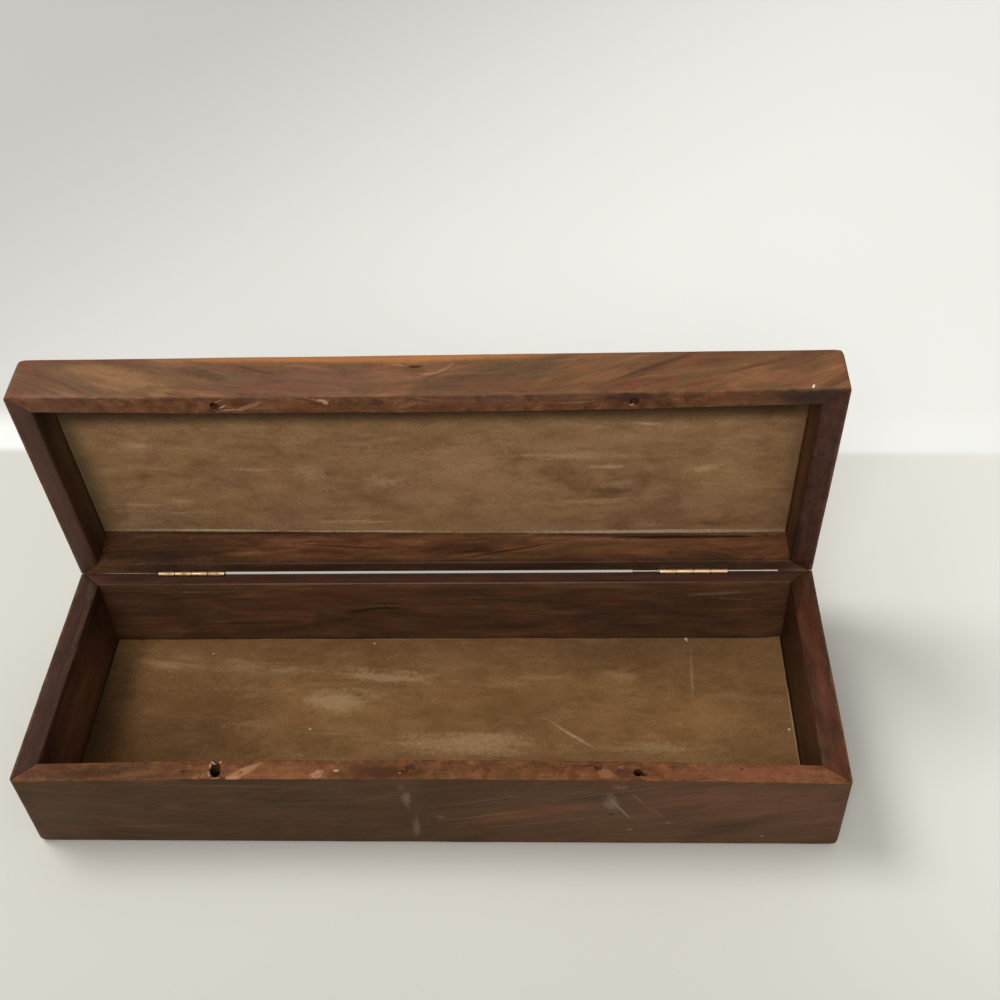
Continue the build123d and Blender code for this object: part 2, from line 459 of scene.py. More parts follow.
def make_tray(name, panel_z, rim_z, peg_holes, chips, broken):
    """The four boards of a tray, worn, with the box shut."""
    ring = make_ring(name, panel_z, rim_z, peg_holes)
    divide(ring, X, -LENGTH / 2, LENGTH / 2, BOARD_GRID)
    divide(ring, Y, -DEPTH / 2, DEPTH / 2, BOARD_GRID)
    divide(ring, Z, min(panel_z, rim_z), max(panel_z, rim_z), HEIGHT_GRID)
    boards = {}
    for side, corners in SIDES.items():
        board = saw_board(ring, f"{name}_{side}_board", corners)
        if side == "front":
            for first, last in broken:
                divide(board, X, first, last, CHIP_GRID)
            divide(board, Y, -DEPTH / 2, CAVITY_LOW.y, RIM_GRID)
        wear_board(board, panel_z, rim_z, chips)
        boards[side] = board
    bpy.data.objects.remove(ring)
    return boards


# Chips in millimetres: the middle, half the length along the board, the reach and the depth, and
# then the level, where it isn't the rim's
BASE_CHIPS = (
    (-55.4, -35.4, 0.3, 1.1, 1.4),
    (-55.7, -32.9, 0.2, 0.9, 0.8),
    (-54, -37, 1, 1, 0.4),
    (-57.6, -37.1, 0.8, 0.9, 0.3),
    (-48.5, -35.2, 0, 0.8, 0.4),
    (57, -35.5, 0.3, 0.7, 0.6),
    (55, -37.2, 1.2, 1.1, 0.4),
    (45.2, -33.4, 0.2, 0.8, 1),
    (40, -33.2, 2, 0.7, 0.3),
    (51, -33.6, 0.6, 1, 0.3),
    (-5.8, -34.8, 0.8, 0.9, 0.5),
    (-3.8, -33.6, 0.8, 1, 0.6),
    (-28.4, -36.2, 0.3, 1.1, 0.25),
    (-23.5, -34.9, 0.2, 0.7, 0.2),
    (-64, -37.3, 2.4, 0.9, 0.35),
    (76, -37.3, 1.6, 1, 0.25),
    (92, -37.3, 1, 1.1, 0.25),
    (-88, -37.3, 1.6, 1, 0.2),
)
base_boards = make_tray(
    "base", 0, BASE_HEIGHT,
    [(-55.6 * MM, -34.1 * MM, 1.4 * MM), (55.2 * MM, -35.1 * MM, 1.15 * MM)],
    BASE_CHIPS,
    [(-60 * MM, -40 * MM), (42 * MM, 58 * MM)],
)


def new_group(name, vectors, values, outputs):
    """A shader node group that takes vectors and values and puts out values.

    Returned with its inner inputs and its output node.
    """
    group = bpy.data.node_groups.new(name, "ShaderNodeTree")
    for sockets, in_out, kind in (
        (vectors, "INPUT", "Vector"), (values, "INPUT", "Float"), (outputs, "OUTPUT", "Float"),
    ):
        for socket in sockets:
            group.interface.new_socket(name=socket, in_out=in_out, socket_type="NodeSocket" + kind)
    return group, group.nodes.new("NodeGroupInput").outputs, group.nodes.new("NodeGroupOutput")


def put_group(tree, group, inputs):
    """Place a group in a tree and return its outputs."""
    return add_node(tree, "ShaderNodeGroup", inputs, node_tree=group).outputs


def work_out_vector(tree, operation, first, second=(0, 0, 0)):
    """The result of a sum on vectors."""
    return add_node(tree, "ShaderNodeVectorMath", {0: first, 1: second}, operation=operation).outputs[0]


# Figure of rosewood: growth bands, finer streaks and short pores, all drawn out along the board.
# Tilt and sweep lean the lines, which lets them climb or fall along the board as cut wood does.
figure, given, result = new_group(
    "rosewood_figure", ["Vector"], ["Tilt", "Sweep", "Waver"], ["Bands", "Patches", "Streaks", "Pores"])
apart = split(figure, given["Vector"])
drift = add_noise(figure, given["Vector"], Scale=0.022, Detail=2.5)
lean = work_out(figure, "MULTIPLY_ADD", apart["X"], given["Sweep"], given["Tilt"])
lean = work_out(figure, "MULTIPLY", lean, apart["X"])
height = work_out(figure, "SUBTRACT", apart["Z"], lean)
height = work_out(figure, "MULTIPLY_ADD", drift, given["Waver"], height)
for output, along, across, detail, twist, low, high in (
    ("Bands", 0.028, 0.13, 4, 1.3, 0.28, 0.72),
    ("Patches", 0.06, 0.2, 2, 1.8, 0.28, 0.72),
    ("Streaks", 0.06, 0.6, 5, 0.25, 0.28, 0.72),
    ("Pores", 0.3, 3.2, 1, 0.25, 0.62, 0.72),
):
    stretched = add_node(figure, "ShaderNodeCombineXYZ", {
        "X": work_out(figure, "MULTIPLY", apart["X"], along),
        "Y": work_out(figure, "MULTIPLY", apart["Y"], across),
        "Z": work_out(figure, "MULTIPLY", height, across),
    }).outputs[0]
    lines = add_noise(figure, stretched, Scale=1, Detail=detail, Roughness=0.55, Distortion=twist)
    figure.links.new(remap(figure, lines, low, high, smooth=False), result.inputs[output])

# How near a point is to the edges of a box: 1 on an edge, fading to 0 a little way in
edge_wear, given, result = new_group(
    "edge_wear", ["Vector", "Centre", "Half"], ["Reach", "Breakup"], ["Mask"])
off = work_out_vector(edge_wear, "SUBTRACT", given["Vector"], given["Centre"])
off = work_out_vector(edge_wear, "ABSOLUTE", off)
off = work_out_vector(edge_wear, "SUBTRACT", given["Half"], off)
apart = split(edge_wear, work_out_vector(edge_wear, "ABSOLUTE", off))
least = work_out(edge_wear, "MINIMUM", apart["X"], apart["Y"])
most = work_out(edge_wear, "MAXIMUM", apart["X"], apart["Y"])
middle = work_out(edge_wear, "MAXIMUM", least, work_out(edge_wear, "MINIMUM", most, apart["Z"]))
rubbed = work_out(edge_wear, "SUBTRACT", add_noise(edge_wear, given["Vector"], Scale=0.35, Detail=4), 0.5)
middle = work_out(edge_wear, "MULTIPLY_ADD", rubbed, given["Breakup"], middle)
edge_wear.links.new(remap(edge_wear, middle, given["Reach"], 0), result.inputs["Mask"])

# One stain, scuff, bare patch or patch of painted light or shade: 1 inside an uneven oval, turned and sized
# as given
mark, given, result = new_group(
    "mark", ["Vector", "Centre", "Turn", "Size"], ["Ragged", "Soft"], ["Mask"])
local = add_node(mark, "ShaderNodeMapping", {
    "Vector": given["Vector"], "Location": given["Centre"], "Rotation": given["Turn"], "Scale": given["Size"],
}, vector_type="TEXTURE").outputs[0]
far = add_node(mark, "ShaderNodeVectorMath", {0: local}, operation="LENGTH").outputs["Value"]
torn = work_out_vector(mark, "ADD", local, given["Centre"])
torn = add_noise(mark, torn, Scale=1.7, Detail=3, Roughness=0.6)
frayed = add_noise(mark, given["Vector"], Scale=0.7, Detail=4, Roughness=0.65)
torn = work_out(mark, "MULTIPLY_ADD", frayed, 0.8, torn)
torn = work_out(mark, "SUBTRACT", torn, 0.9)
far = work_out(mark, "MULTIPLY_ADD", torn, given["Ragged"], far)
inner = work_out(mark, "SUBTRACT", 1.1, given["Soft"])
mark.links.new(remap(mark, far, 1.1, inner), result.inputs["Mask"])


# Where the faces that marks lie on are, in millimetres
FRONT_FACE = -37.4
BACK_INNER_FACE = 31.9
BASE_RIM_FACE = 29.9


def marks_on_face(axis, level, reach, rows):
    """Marks on the face that lies at a level on an axis, written as short rows.

    A row is the place and half size along the two other axes, the colour, the strength and the
    raggedness, and then the turn and the reach into the face, where they aren't 0 and the shared one.
    """

    def mark_from_row(first, second, half_first, half_second, code, strength, ragged, turn=0, reach=reach):
        centre, size, turns = [first, second], [half_first, half_second], [0, 0]
        for numbers, number in ((centre, level), (size, reach), (turns, turn)):
            numbers.insert(axis, number)
        return centre, size, turns, code, strength, ragged

    return [mark_from_row(*row) for row in rows]


def add_marks(tree, place, shade, marks, soft=0.5):
    """Lay marks over a colour.

    Each is its centre and half size in millimetres, its turn in degrees, its colour, its strength
    and its raggedness.
    """
    for centre, size, turn, code, strength, ragged in marks:
        mask = put_group(tree, mark, {
            "Vector": place, "Centre": centre, "Size": size, "Ragged": ragged, "Soft": soft,
            "Turn": [radians(angle) for angle in turn],
        })["Mask"]
        shade = blend_colours(tree, work_out(tree, "MULTIPLY", mask, strength), shade, code)
    return shade


def add_ramp(tree, value, tones):
    """A colour ramp through tones, each its place and its colour."""
    ramp = add_node(tree, "ShaderNodeValToRGB", {"Fac": value})
    steps = ramp.color_ramp.elements
    while len(steps) < len(tones):
        steps.new(0.5)
    for step, (spot, code) in zip(steps, tones):
        step.position = spot
        step.color = colour(code)
    return ramp.outputs["Color"]


def make_wood(
    name, tones, rim_tones=None, tilt=0, sweep=0, waver=8, ends=False, shut=None,
    panel_z=0, rim_z=BASE_RIM_FACE, stains_and_shading=(), marks=(), depth=0.7, blush="6E3A26", olive="5C4A30",
    rubbed="A8764F", wear=0.25, specular=0.2,
):
    """Waxed rosewood for one board, with stained patches, painted light and painted shade under its grain and
    marks over it.
    """
    wood, tree, shader, place = add_material(name, shut)
    grain = add_node(tree, "ShaderNodeMapping", {
        "Vector": place, "Rotation": (0, 0, radians(90 if ends else 0)),
        "Location": (0, 0, 11 * len(name)),
    }).outputs[0]
    lines = put_group(tree, figure, {"Vector": grain, "Tilt": tilt, "Sweep": sweep, "Waver": waver})
    shade = add_ramp(tree, lines["Bands"], tones)
    if rim_tones:
        level = work_out(tree, "SUBTRACT", split(tree, place)["Z"], rim_z)
        level = work_out(tree, "ABSOLUTE", level)
        mottle = add_noise(tree, grain, Scale=0.3, Detail=7, Roughness=0.7, Distortion=0.5)
        mottle = remap(tree, mottle, 0.32, 0.68, smooth=False)
        shade = blend_colours(tree, remap(tree, level, 0.55, 0.3), shade, add_ramp(tree, mottle, rim_tones))
    shade = blend_colours(tree, remap(tree, lines["Patches"], 0.6, 0.85, 0, 0.5), shade, blush)
    shade = blend_colours(tree, remap(tree, lines["Patches"], 0.4, 0.15, 0, 0.4), shade, olive)
    shade = add_marks(tree, place, shade, stains_and_shading, soft=0.9)
    streaks = blend_colours(tree, lines["Streaks"], "B4AAA0", "FFFFFF")
    shade = blend_colours(tree, depth, shade, streaks, "MULTIPLY")
    pores = work_out(tree, "MULTIPLY", lines["Pores"], 0.4)
    shade = blend_colours(tree, pores, shade, "1C100A")

    # Rubbed outer edges
    middle_z = (panel_z + rim_z) / 2
    outer = put_group(tree, edge_wear, {
        "Vector": place, "Centre": (0, 0, middle_z), "Reach": 1.1, "Breakup": 2.6,
        "Half": (LENGTH / MM / 2, DEPTH / MM / 2, abs(rim_z - panel_z) / 2),
    })["Mask"]
    shade = blend_colours(tree, work_out(tree, "MULTIPLY", outer, wear), shade, rubbed)
    shade = add_marks(tree, place, shade, marks)

    # Old wax: glossier in patches and duller where it is rubbed
    gloss = remap(tree, add_noise(tree, place, Scale=0.07, Detail=4), 0.3, 0.7, 0.42, 0.6)
    gloss = work_out(tree, "MULTIPLY_ADD", outer, 0.15, gloss)
    set_inputs(tree, shader, {"Base Color": shade, "Roughness": gloss, "Specular IOR Level": specular})
    relief = work_out(tree, "MULTIPLY_ADD", lines["Pores"], -0.6, lines["Streaks"])
    add_bump(tree, shader, relief, distance=0.00012, strength=0.5)
    return wood


# How near the rim a face of the front board is one of the rim's, and where the peg holes' faces are
RIM_FACE_DEPTH = 0.42 * MM
HOLE_X = 55 * MM
HOLE_REACH = 3 * MM
HOLE_FRONT = -36.3 * MM
HOLE_BACK = -31.4 * MM


def finish_boards(boards, name, body, rim_z, woods):
    """Give each board its wood, and the front board's rim its own, and let it stand for its CAD node."""
    for side, board in boards.items():
        board.data.materials.clear()
        board.data.materials.append(woods[side])
        if side == "front":
            board.data.materials.append(woods["front_rim"])
            for face in board.data.polygons:
                spot = face.center
                from_rim = abs(spot.z - rim_z)
                in_hole = (
                    from_rim < PEG_HOLE_DEPTH + MM
                    and abs(abs(spot.x) - HOLE_X) < HOLE_REACH
                    and HOLE_FRONT < spot.y < HOLE_BACK
                )
                face.material_index = 1 if from_rim < RIM_FACE_DEPTH or in_hole else 0
        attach(board, body)
        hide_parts(f"{name}_{side}")


# Stains and marks on the front board's face and rim, and inside the back board
base_front_stains = marks_on_face(Y, FRONT_FACE, 4, (
    (68, 14, 72, 40, "68462F", 0.5, 0.4, 0, 6),
    (28, 15, 26, 3.6, "70442A", 0.6, 1.4, -14),
    (45, 22, 14, 3, "3A2C1A", 0.6, 1.4, -14),
    (72, 21, 20, 5, "6E4430", 0.65, 1.4, -16),
    (92, 19, 18, 9, "6A4430", 0.65, 1.2, -16),
    (80, 8.6, 20, 3.4, "43321E", 0.65, 1.4, -20),
    (66, 17, 12, 2, "43321E", 0.5, 1.4, -16),
    (26, 7, 24, 2.4, "4A361F", 0.5, 1.4, -8),
    (104, 14, 9, 14, "64402E", 0.5, 1.2),
    (-40, 3, 40, 2, "50341F", 0.4, 1.6),
    (-48, 26.6, 30, 0.6, "665038", 0.4, 1.2, 2),
    (-80, 8, 26, 0.7, "5A462E", 0.4, 1.2, -3),
    (-5.6, 21, 1.4, 4.6, "7C6A58", 0.55, 1.3, 2),
    (-3.8, 8.4, 1.3, 5.6, "786652", 0.5, 1.3, 3),
    (-6.6, 26, 1.2, 1.6, "7A4A3A", 0.6, 1.3),
    (3, 12.4, 1.6, 1.4, "765440", 0.5, 1.3),
    (48.4, 20, 2.4, 4.8, "7C6C60", 0.55, 1.4, -10),
    (50.6, 26.4, 2.6, 1.6, "80564E", 0.6, 1.4),
))
base_front_marks = marks_on_face(Y, FRONT_FACE, 4, (
    (50.9, 17, 0.4, 6, "8A7664", 0.5, 0.9, 148),
    (55.6, 21.4, 0.35, 3.4, "7A6654", 0.35, 1, 144),
    (61, 15, 0.25, 3, "72604E", 0.4, 0.6, 140),
    (48.8, 14.4, 1, 0.7, "2A1A12", 0.6, 1.2),
    (53.6, 7.4, 1, 0.7, "76604E", 0.5, 1.4),
    (63.6, 10.6, 0.9, 0.6, "76604E", 0.5, 1.4),
    (46, 23.4, 26, 0.25, "6E5A48", 0.35, 1.2, -13),
    (14, 13.2, 18, 0.3, "7A5E46", 0.4, 1.2, -12),
    (20, 21.5, 18, 0.25, "66523E", 0.35, 1.2, -13),
    (0, 25, 14, 0.25, "665240", 0.3, 1.2, -8),
    (30, 10.4, 20, 0.25, "765440", 0.35, 1.2, -10),
    (89.2, 4.7, 0.35, 0.35, "B09070", 0.7, 0.4),
))
base_rim_stains = marks_on_face(Z, BASE_RIM_FACE, 0.6, (
    (-88, -34.7, 30, 4, "442612", 0.75, 0.7),
    (-76, -34.9, 9, 1.4, "85593A", 0.55, 1.4, 8),
    (-38, -34.5, 17, 4, "9C6640", 0.5, 0.8),
    (-12, -34.5, 11, 4, "50301C", 0.85, 0.6),
    (22, -34.5, 14, 3, "6C4A2A", 0.55, 1.4),
    (86, -34.5, 30, 4, "905A40", 0.55, 1),
))
base_rim_marks_and_shade = marks_on_face(Z, BASE_RIM_FACE, 1, (
    (-48.3, -34.4, 5.6, 1.25, "A0724F", 0.8, 0.5, 30),
    (-50.6, -36.2, 2.6, 0.7, "A87858", 0.75, 0.8, 10),
    (-48.5, -34.3, 0.5, 0.4, "4A2818", 0.8, 0.9),
    # Painted shade inside the left peg hole
    (-55.4, -33.5, 1.35, 2.1, "32150B", 0.9, 0.5, 0, 3),
    (-57, -32.6, 0.35, 1, "BC9878", 0.7, 1.2, 10),
    (-56.4, -31.4, 0.9, 0.3, "C8A284", 0.8, 1.2, -20),
    (-54.6, -31.3, 0.5, 0.3, "C8A284", 0.7, 1.2, 30),
    (-56.9, -35, 0.4, 0.9, "BC9272", 0.7, 1.2, 30),
    (-55, -36, 1.4, 0.35, "B48A6A", 0.7, 1.2, 12),
    (-28.4, -35, 1.8, 1.3, "B4866A", 0.65, 1.2, 30),
    (-28.2, -35, 0.9, 0.6, "8A5640", 0.6, 1.2, 30),
    (-23.5, -33.8, 0.9, 0.5, "C49C7C", 0.7, 1),
    (-4.4, -32.5, 1.9, 0.8, "33190F", 0.8, 1.2, 24),
    (-6, -33.8, 1.1, 0.6, "3C2014", 0.7, 1.2),
    (-6.6, -34.4, 0.45, 0.3, "AC8C7A", 0.7, 1),
    (-63, -37.2, 3, 0.35, "2A150C", 0.6, 1.2, 0, 0.7),
    (47, -34.6, 2.6, 1.5, "946444", 0.6, 1.2, -20),
    (51.6, -34, 2.2, 2.6, "4E2C26", 0.7, 0.9),
    (51, -32.4, 1, 0.5, "8A5E50", 0.6, 1.4, 10),
    (45, -32.3, 0.8, 0.5, "22100A", 0.9, 0.6),
    (41, -32.1, 3.4, 0.25, "3A2012", 0.7, 0.8, -4),
    (56.8, -34.5, 1.1, 0.45, "32170D", 0.85, 0.6, 8),
    # Painted shade inside the right peg hole
    (55.2, -34.3, 1.3, 1.2, "32170D", 0.8, 0.5, 0, 3),
    (82, -33, 0.6, 0.4, "4A2618", 0.7, 1),
    (93.5, -34.4, 0.5, 0.4, "4A2618", 0.6, 1),
))
base_back_marks = marks_on_face(Y, BACK_INNER_FACE, 1, (
    (-19, 18.6, 7, 0.8, "1A100A", 0.75, 1.4, -4),
    (-26, 17.6, 5, 0.6, "1E130C", 0.6, 1.4, -4),
    (20, 22, 18, 0.6, "22140C", 0.45, 1.4, 3),
    (-60, 12, 20, 0.8, "22140C", 0.4, 1.4, -2),
    (82.6, 24.9, 9, 0.7, "7A6A58", 0.45, 1.8, -4),
    (88, 22.4, 6, 0.3, "7A6A58", 0.4, 1.4, 2),
    (60, 15, 30, 6, "38281E", 0.4, 1.4),
    (-76.1, 26.3, 3.8, 0.35, "7A6450", 0.5, 1.4),
    (0, 29.9, 104, 0.35, "8A6850", 0.6, 0.9, 0, 0.35),
))
BASE_FRONT_TONES = ((0.1, "422D19"), (0.5, "4A321D"), (0.75, "4E3620"), (0.95, "583C26"))
BASE_RIM_TONES = ((0, "54341F"), (0.35, "663F25"), (0.65, "7A4C2E"), (1, "8E5E3C"))
finish_boards(base_boards, "base", "base", BASE_HEIGHT, {
    "front": make_wood(
        "base_front_wood", BASE_FRONT_TONES, rim_tones=BASE_RIM_TONES, specular=0.14,
        tilt=0.1, sweep=0.0009, waver=6, depth=0.45, stains_and_shading=base_front_stains, marks=base_front_marks,
        blush="55341F", olive="46361E", rubbed="7A5238"),
    "front_rim": make_wood(
        "base_rim_wood", BASE_FRONT_TONES, rim_tones=BASE_RIM_TONES, specular=0.08,
        depth=0.45, stains_and_shading=base_rim_stains, marks=base_rim_marks_and_shade, blush="74462E", rubbed="7A5238"),
    "back": make_wood(
        "base_back_wood", ((0.05, "453020"), (0.4, "553928"), (0.7, "62412B"), (0.95, "704D31")),
        tilt=0.02, waver=6, depth=0.6, marks=base_back_marks, blush="5E3420",
        stains_and_shading=(((0, 34.4, 29.9), (200, 4.6, 1.2), (0, 0, 0), "5E3E34", 0.75, 0.6),)),
    "left_end": make_wood(
        "base_left_end_wood", ((0.05, "34221A"), (0.45, "442E22"), (0.8, "54382A")), ends=True,
        specular=0.1,
        stains_and_shading=(
            ((-106.5, -20, 29.9), (5, 30, 0.6), (0, 0, 0), "40281E", 0.8, 0.8),
            # Painted light on the inner face of the left end board
            ((-103.5, 0, 14), (1.6, 60, 16), (0, 0, 0), "84583E", 0.8, 0.8),
            ((-103.5, 26, 18), (1.6, 20, 16), (0, 0, 0), "24150D", 0.5, 1),
        ),
        blush="502820"),
    "right_end": make_wood(
        "base_right_end_wood", ((0.05, "3A2217"), (0.45, "4A2C1D"), (0.8, "643A24")), ends=True,
        specular=0.14,
        stains_and_shading=(
            ((106.5, -8, 29.9), (2.6, 16, 0.6), (0, 0, 0), "68382E", 0.5, 1.6),
            # Painted shade on the inner face of the right end board
            ((102.9, 0, 14), (1.6, 60, 16), (0, 0, 0), "3E2612", 0.6, 0.8),
        ),
        blush="642A1E"),
})


# Bottom panel: a thin board of the same rosewood, planed smooth. It is let into the rebate of the
# four boards from below and glued, flush with their underside.
PANEL_GAP = 0.1 * MM
PANEL_EDGE_EASE = 0.25 * MM
PANEL_WAVE = 0.05 * MM
PANEL_GRID = 5 * MM


def make_panel(name, low_z, high_z):
    """A panel with its edges eased and its faces not quite flat."""
    lap = REBATE - PANEL_GAP
    panel = make_block(
        name,
        (CAVITY_LOW.x - lap, CAVITY_LOW.y - lap, low_z),
        (CAVITY_HIGH.x + lap, CAVITY_HIGH.y + lap, high_z),
    )
    choose(panel, "EDGE")
    bpy.ops.mesh.bevel(offset=PANEL_EDGE_EASE, segments=2)
    divide(panel, X, -LENGTH / 2, LENGTH / 2, PANEL_GRID)
    divide(panel, Y, -DEPTH / 2, DEPTH / 2, PANEL_GRID)
    normals = [vertex.normal.copy() for vertex in panel.data.vertices]
    for vertex, normal in zip(panel.data.vertices, normals):
        vertex.co -= normal * PANEL_WAVE * (1 + noise.noise(vertex.co * 40))
    bpy.ops.object.shade_smooth_by_angle(angle=radians(35))
    return panel


bottom_panel = make_panel("base_bottom_board", 0, PANEL_THICKNESS)
bottom_panel.data.materials.append(
    make_wood("bottom_panel_wood", ((0.05, "4A3020"), (0.5, "6A4630"), (0.9, "82583C")), tilt=0.02))
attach(bottom_panel, "base")
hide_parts("base_bottom_panel")


# Base lining: a sheet of brown suede glued to the floor of the box. Its nap is rubbed pale in
# streaks, it has lost its grip at the rear right corner, and threads of lint lie on it. A painted
# shadow lies along its left side under the left end board, and a painted highlight on its rear edge.
LINING_THICKNESS = 0.9 * MM
LINING_LENGTH = 205.6 * MM
LINING_WIDTH = 63.1 * MM
LOOSE_CORNER = 7 * MM
CUT_EDGE_ROUND = 0.15 * MM
CUT_EDGE_WAVER = 0.14 * MM
CUT_EDGE_REACH = 0.2 * MM
COCKLE = 0.12 * MM
ASKEW_END = 50 * MM
BASE_LINING_FACE = 4.9

nap, given, result = new_group(
    "suede_nap", ["Vector"], [], ["Brushed", "Cast", "Mottle", "Scuffs", "Fibre"])
for output, scales, low, high in (
    ("Brushed", (0.022, 0.06, 0.02), 0.32, 0.68),
    ("Cast", (0.05, 0.09, 0.1), 0.32, 0.68),
    ("Mottle", (0.1, 0.17, 0.3), 0.32, 0.68),
    ("Scuffs", (0.06, 0.3, 0.5), 0.54, 0.74),
    ("Fibre", (1.8, 2.2, 2.2), 0.32, 0.68),
):
    stretched = work_out_vector(nap, "MULTIPLY", given["Vector"], scales)
    spots = add_noise(nap, stretched, Scale=1, Detail=6, Roughness=0.66, Distortion=0.4)
    nap.links.new(remap(nap, spots, low, high, smooth=False), result.inputs[output])


def make_suede(name, dark, light, ruddy, pale, scuffed, marks, shut=None):
    """Brushed suede, with pale marks where the nap is rubbed and the other marks it is given, painted light
    and shade among them.
    """
    suede, tree, shader, place = add_material(name, shut)
    parts = put_group(tree, nap, {"Vector": place})
    shade = blend_colours(tree, parts["Brushed"], dark, light)
    shade = blend_colours(tree, remap(tree, parts["Cast"], 0.35, 0.9, 0, 0.6), shade, ruddy)
    shade = blend_colours(tree, work_out(tree, "MULTIPLY", parts["Mottle"], 0.6), shade, pale)
    shade = blend_colours(tree, work_out(tree, "MULTIPLY", parts["Scuffs"], 0.5), shade, scuffed)
    shade = add_marks(tree, place, shade, marks, soft=1)
    fibre = blend_colours(tree, parts["Fibre"], "D6CEC6", "FFFFFF")
    shade = blend_colours(tree, 1, shade, fibre, "MULTIPLY")
    set_inputs(tree, shader, {
        "Base Color": shade, "Roughness": 0.95, "Specular IOR Level": 0.15,
        "Sheen Weight": 0.25, "Sheen Roughness": 0.6, "Sheen Tint": "C8A880",
    })
    add_bump(tree, shader, parts["Fibre"], distance=0.0003, strength=0.3)
    return suede


def make_lining(name, low_z, corner_lift, cut_short):
    """A suede sheet lying on its panel, cockled a little where the glue has let go.

    Its hinge side is cut askew, short by cut_short at the left and by nothing at the right.
    """
    centre = (CAVITY_LOW + CAVITY_HIGH) / 2
    loose_end = centre.xy + Vector((LINING_LENGTH / 2, LINING_WIDTH / 2))
    put_down()
    bpy.ops.mesh.primitive_grid_add(
        x_subdivisions=206, y_subdivisions=64, size=1, location=(centre.x, centre.y, low_z))
    bpy.ops.transform.resize(value=(LINING_LENGTH, LINING_WIDTH, 1))
    bpy.ops.object.transform_apply()
    lining = bpy.context.object
    lining.name = lining.data.name = name
    for vertex in lining.data.vertices:
        spot = vertex.co.copy()
        edge = min(
            LINING_LENGTH / 2 - abs(spot.x - centre.x), LINING_WIDTH / 2 - abs(spot.y - centre.y))
        short = cut_short * max(0.0, (ASKEW_END - spot.x) / (ASKEW_END + LINING_LENGTH / 2))
        vertex.co.y -= short * (spot.y - centre.y + LINING_WIDTH / 2) / LINING_WIDTH
        vertex.co.z += COCKLE * (1 + noise.noise(spot * 70)) + COCKLE / 4 * noise.noise(spot * 700)
        if edge < CUT_EDGE_REACH:
            vertex.co.x += CUT_EDGE_WAVER * noise.noise(spot * 160)
            vertex.co.y += CUT_EDGE_WAVER * noise.noise(spot * 160 + Vector((5, 5, 5)))
        corner = (spot.xy - loose_end).length
        if corner < LOOSE_CORNER:
            vertex.co.z += corner_lift * (1 - corner / LOOSE_CORNER) ** 2
    thick = lining.modifiers.new("thickness", "SOLIDIFY")
    thick.thickness = LINING_THICKNESS - CUT_EDGE_ROUND
    thick.offset = 1
    bpy.ops.object.modifier_apply(modifier="thickness")
    soft = lining.modifiers.new("cut_edge", "BEVEL")
    soft.width = CUT_EDGE_ROUND
    soft.segments = 2
    bpy.ops.object.modifier_apply(modifier="cut_edge")
    bpy.ops.object.shade_smooth_by_angle(angle=radians(50))
    return lining


base_lining = make_lining("base_suede_lining", PANEL_THICKNESS, corner_lift=MM, cut_short=0)
base_lining_marks_light_and_shade = marks_on_face(Z, BASE_LINING_FACE, 3, (
    (-85.5, 21.5, 14, 1.7, "B8966A", 0.85, 1.8, -9),
    (-63, 20.5, 10, 4, "B49268", 0.75, 1.8, -14),
    (-48.4, 18.8, 10, 1.8, "B8966A", 0.8, 1.8),
    (-18.6, 17, 18, 3.2, "BC9A70", 0.85, 2, -4),
    (-30.9, 7.4, 15, 5, "BC9C74", 0.85, 1.4),
    (9.6, -7.7, 29, 4.6, "BC9A72", 0.85, 1.7),
    (64.3, -9.2, 17, 2.8, "B49268", 0.7, 1.6),
    (28.5, 15.9, 10, 1.1, "B49268", 0.6, 1.8),
    (53.4, 17, 8, 2.8, "B49268", 0.6, 1.8),
    (38.5, -4.6, 10, 0.7, "CDB48E", 0.7, 1, -36),
    (74.7, 18.4, 0.6, 11.5, "BC9E74", 0.6, 1.4, -3),
    (102.3, 0, 0.35, 34, "C8B088", 0.8, 0.6),
    # Painted highlight along the rear edge
    (0, 31.3, 100, 0.3, "B89A70", 0.7, 1),
    (46, 27.3, 1.8, 1.1, "7A4630", 0.7, 1.4),
    # Painted shadow of the left end board, spreading as painted shade over the left of the lining
    (-103.5, 0, 14, 42, "2C220F", 0.85, 0.4),
    (-78, -4, 38, 36, "503417", 0.65, 1),
    (20, 5, 26, 7, "84603A", 0.4, 1.4),
    (60, 24, 40, 9, "6E4C28", 0.4, 1.4),
    (73.9, 31, 0.6, 1.2, "FFFFFF", 1, 0.4, 15),
    (-22.3, 29.5, 0.5, 0.4, "F0E4CC", 1, 0.6),
    (-38.1, -2.7, 0.4, 0.4, "F0E4CC", 1, 0.6),
    (-72.1, 25.6, 0.4, 0.4, "F0E4CC", 1, 0.6),
    (101, -2.6, 0.5, 0.5, "F4EAD8", 1, 0.6),
))
base_lining.data.materials.append(
    make_suede("base_suede", "6E4C28", "9C7446", "825636", "AA845A", "B8966A", base_lining_marks_light_and_shade))
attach(base_lining, "base")
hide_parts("base_lining")


